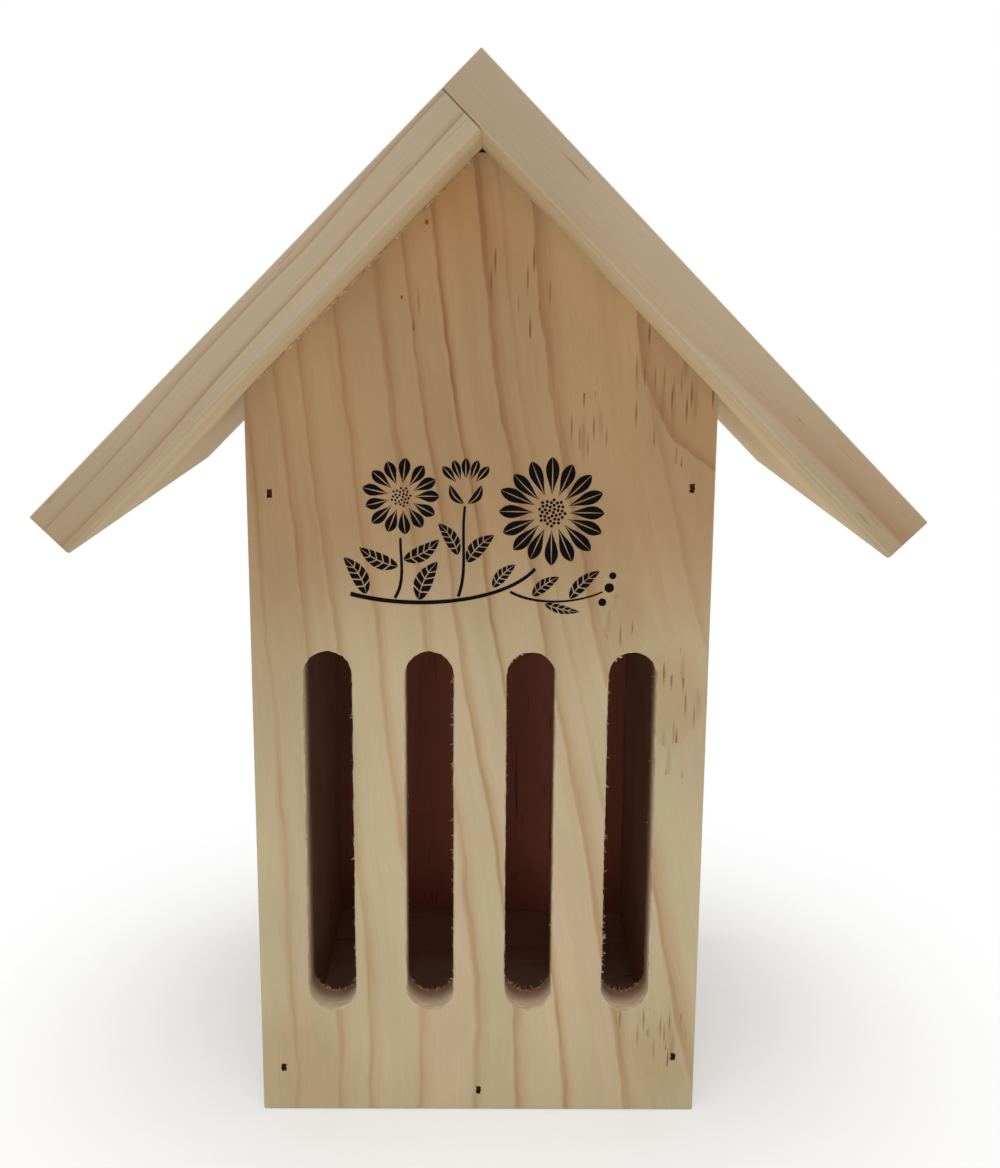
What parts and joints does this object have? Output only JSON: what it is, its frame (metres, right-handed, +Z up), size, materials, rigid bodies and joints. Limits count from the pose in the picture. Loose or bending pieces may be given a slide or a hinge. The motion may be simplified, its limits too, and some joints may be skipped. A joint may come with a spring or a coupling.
{
  "type": "butterfly house",
  "caption": "Pentagonal pine box with tall round-ended entry slots under a steep lapped gable roof with a deep front overhang; shelters butterflies and hangs on a wall by a keyhole.",
  "frame": {"origin": "on the ground under the middle of the roof's outline", "axes": "+X to the right seen from the front, +Y from the front towards the wall, +Z up"},
  "size_m": [0.1866, 0.158, 0.2578],
  "materials": {
    "front_pine": "planed, unfinished",
    "wall_pine": "planed, unfinished",
    "roof_pine": "planed, unfinished",
    "brad_steel": "dull zinc"
  },
  "bodies": {
    "root": {"front_panel": "front_pine", "back_panel": "wall_pine", "left_side_panel": "wall_pine", "right_side_panel": "wall_pine", "floor_board": "wall_pine", "left_roof_board": "roof_pine", "right_roof_board": "roof_pine", "front_brads": "brad_steel", "back_brads": "brad_steel", "left_roof_brads": "brad_steel", "right_roof_brads": "brad_steel", "ridge_brads": "brad_steel", "left_floor_brads": "brad_steel", "right_floor_brads": "brad_steel"}
  },
  "joints": []
}
